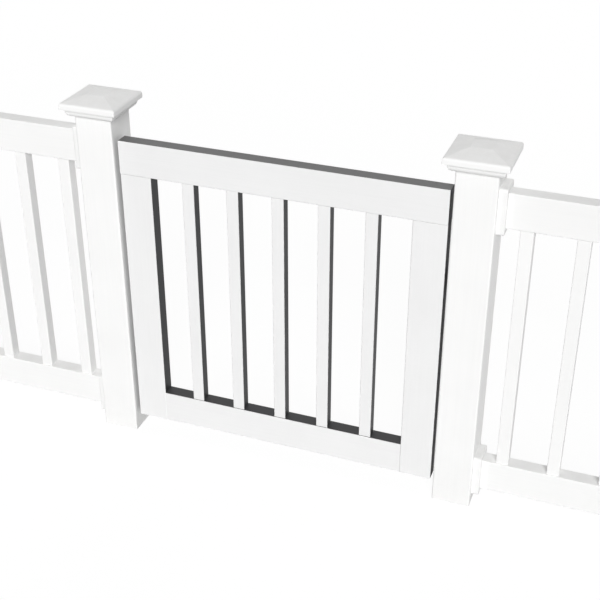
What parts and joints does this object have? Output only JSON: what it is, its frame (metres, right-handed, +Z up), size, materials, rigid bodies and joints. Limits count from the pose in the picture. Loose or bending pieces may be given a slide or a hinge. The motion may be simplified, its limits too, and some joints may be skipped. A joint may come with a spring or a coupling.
{
  "type": "deck railing gate",
  "caption": "Framed deck gate leaf with square balusters, hinged between two capped square posts, with a whole railing bay on each side.",
  "frame": {"origin": "centre of the hinge post's base, on its flat bottom face", "axes": "+X along the railing from the hinge post to the latch post, +Y to the back, the side the gate opens to, +Z up"},
  "size_m": [4.788, 0.156, 1.009],
  "materials": {
    "white_vinyl": "satin",
    "cap_vinyl": "satin",
    "gate_vinyl": "satin",
    "timber": "rough sawn",
    "hardware": "black powder coat"
  },
  "bodies": {
    "railing": {"hinge_post": "white_vinyl", "latch_post": "white_vinyl", "far_left_post": "white_vinyl", "far_right_post": "white_vinyl", "hinge_post_core": "timber", "latch_post_core": "timber", "far_left_post_core": "timber", "far_right_post_core": "timber", "hinge_post_cap": "cap_vinyl", "latch_post_cap": "cap_vinyl", "far_left_post_cap": "cap_vinyl", "far_right_post_cap": "cap_vinyl", "left_top_rail": "white_vinyl", "left_bottom_rail": "white_vinyl", "left_balusters": "white_vinyl", "left_top_brackets": "white_vinyl", "left_bottom_brackets": "white_vinyl", "right_top_rail": "white_vinyl", "right_bottom_rail": "white_vinyl", "right_balusters": "white_vinyl", "right_top_brackets": "white_vinyl", "right_bottom_brackets": "white_vinyl", "upper_hinge_post_leaf": "hardware", "lower_hinge_post_leaf": "hardware", "upper_hinge_pin": "hardware", "lower_hinge_pin": "hardware", "strike_plate": "hardware"},
    "gate_leaf": {"gate_top_rail": "gate_vinyl", "gate_bottom_rail": "gate_vinyl", "hinge_stile": "gate_vinyl", "latch_stile": "gate_vinyl", "gate_baluster_1": "gate_vinyl", "gate_baluster_2": "gate_vinyl", "gate_baluster_3": "gate_vinyl", "gate_baluster_4": "gate_vinyl", "gate_baluster_5": "gate_vinyl", "stile_plugs": "gate_vinyl", "upper_hinge_gate_leaf": "hardware", "lower_hinge_gate_leaf": "hardware", "latch_body": "hardware", "latch_bolt": "hardware"}
  },
  "joints": [
    {"name": "gate_hinge", "type": "hinge", "parent": "railing", "child": "gate_leaf", "pos_m": [0.057, 0.007, 0], "axis": [0, 0, 1], "range_deg": [0, 90]}
  ]
}
